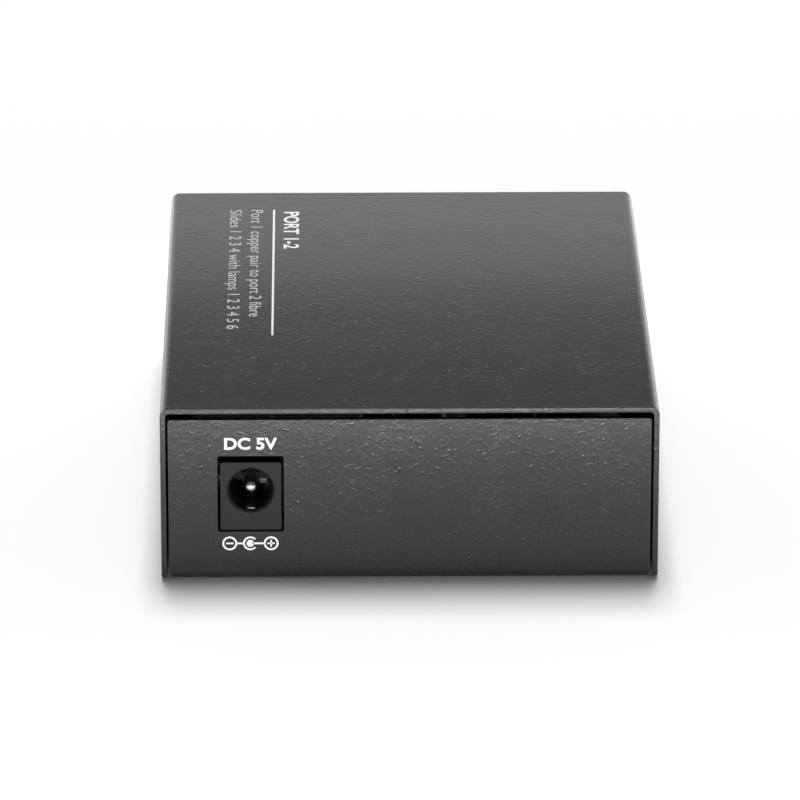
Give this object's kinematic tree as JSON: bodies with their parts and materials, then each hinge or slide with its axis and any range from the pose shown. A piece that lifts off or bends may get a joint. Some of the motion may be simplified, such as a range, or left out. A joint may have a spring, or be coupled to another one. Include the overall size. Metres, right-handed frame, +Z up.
{
  "type": "fibre media converter",
  "caption": "Small folded-steel box that joins a copper network port to a fibre transceiver slot, with a barrel power inlet, vented sides and keyholes.",
  "frame": {"origin": "middle of the underside of the case, on the surface that it stands on", "axes": "+Z up through the top cover; -Y out of the panel with the power inlet; +Y out of the port panel; +X to the right when facing the power inlet"},
  "size_m": [0.0704, 0.094, 0.026],
  "materials": {
    "top_cover": "satin powder coat",
    "base_chassis": "satin powder coat",
    "cover_screws": "black zinc",
    "pcb_standoffs": "zinc plated",
    "pcb_screws": "zinc plated",
    "circuit_board": "green solder mask",
    "dc_jack_housing": "moulded satin",
    "dc_jack_centre_pin": "nickel plated",
    "dc_jack_sleeve_leaf": "nickel plated",
    "dc_jack_switch_leaf": "nickel plated",
    "copper_port_housing": "moulded",
    "copper_port_shield": "tin plated",
    "copper_port_contacts": "gold flash",
    "lan_transformer": "moulded",
    "sfp_cage": "nickel plated",
    "sfp_spring_collar": "nickel plated",
    "sfp_connector_housing": "moulded",
    "sfp_connector_contacts": "gold flash",
    "lamp_block": "moulded",
    "status_lamps": "tinted clear",
    "dip_switch_body": "moulded",
    "dip_switch_pins": "tin plated",
    "converter_chip": "moulded",
    "flash_memory": "moulded",
    "crystal": "pressed can",
    "voltage_regulator": "moulded",
    "power_inductor": "ferrite",
    "power_capacitors": "drawn can",
    "protection_diode": "moulded",
    "input_fuse": "moulded",
    "chip_capacitors": "ceramic",
    "chip_resistors": "ceramic",
    "dip_slider_1": "moulded",
    "dip_slider_2": "moulded",
    "dip_slider_3": "moulded",
    "dip_slider_4": "moulded"
  },
  "bodies": {
    "converter": {"top_cover": "top_cover", "base_chassis": "base_chassis", "cover_screws": "cover_screws", "pcb_standoffs": "pcb_standoffs", "pcb_screws": "pcb_screws", "circuit_board": "circuit_board", "dc_jack_housing": "dc_jack_housing", "dc_jack_centre_pin": "dc_jack_centre_pin", "dc_jack_sleeve_leaf": "dc_jack_sleeve_leaf", "dc_jack_switch_leaf": "dc_jack_switch_leaf", "copper_port_housing": "copper_port_housing", "copper_port_shield": "copper_port_shield", "copper_port_contacts": "copper_port_contacts", "lan_transformer": "lan_transformer", "sfp_cage": "sfp_cage", "sfp_spring_collar": "sfp_spring_collar", "sfp_connector_housing": "sfp_connector_housing", "sfp_connector_contacts": "sfp_connector_contacts", "lamp_block": "lamp_block", "status_lamps": "status_lamps", "dip_switch_body": "dip_switch_body", "dip_switch_pins": "dip_switch_pins", "converter_chip": "converter_chip", "flash_memory": "flash_memory", "crystal": "crystal", "voltage_regulator": "voltage_regulator", "power_inductor": "power_inductor", "power_capacitors": "power_capacitors", "protection_diode": "protection_diode", "input_fuse": "input_fuse", "chip_capacitors": "chip_capacitors", "chip_resistors": "chip_resistors"},
    "option_slide_1": {"dip_slider_1": "dip_slider_1"},
    "option_slide_2": {"dip_slider_2": "dip_slider_2"},
    "option_slide_3": {"dip_slider_3": "dip_slider_3"},
    "option_slide_4": {"dip_slider_4": "dip_slider_4"}
  },
  "joints": [
    {"name": "option_slide_1_travel", "type": "slide", "parent": "converter", "child": "option_slide_1", "axis": [0, 0, 1], "range_m": [0, 0.002]},
    {"name": "option_slide_2_travel", "type": "slide", "parent": "converter", "child": "option_slide_2", "axis": [0, 0, 1], "range_m": [0, 0.002]},
    {"name": "option_slide_3_travel", "type": "slide", "parent": "converter", "child": "option_slide_3", "axis": [0, 0, 1], "range_m": [0, 0.002]},
    {"name": "option_slide_4_travel", "type": "slide", "parent": "converter", "child": "option_slide_4", "axis": [0, 0, 1], "range_m": [0, 0.002]}
  ]
}
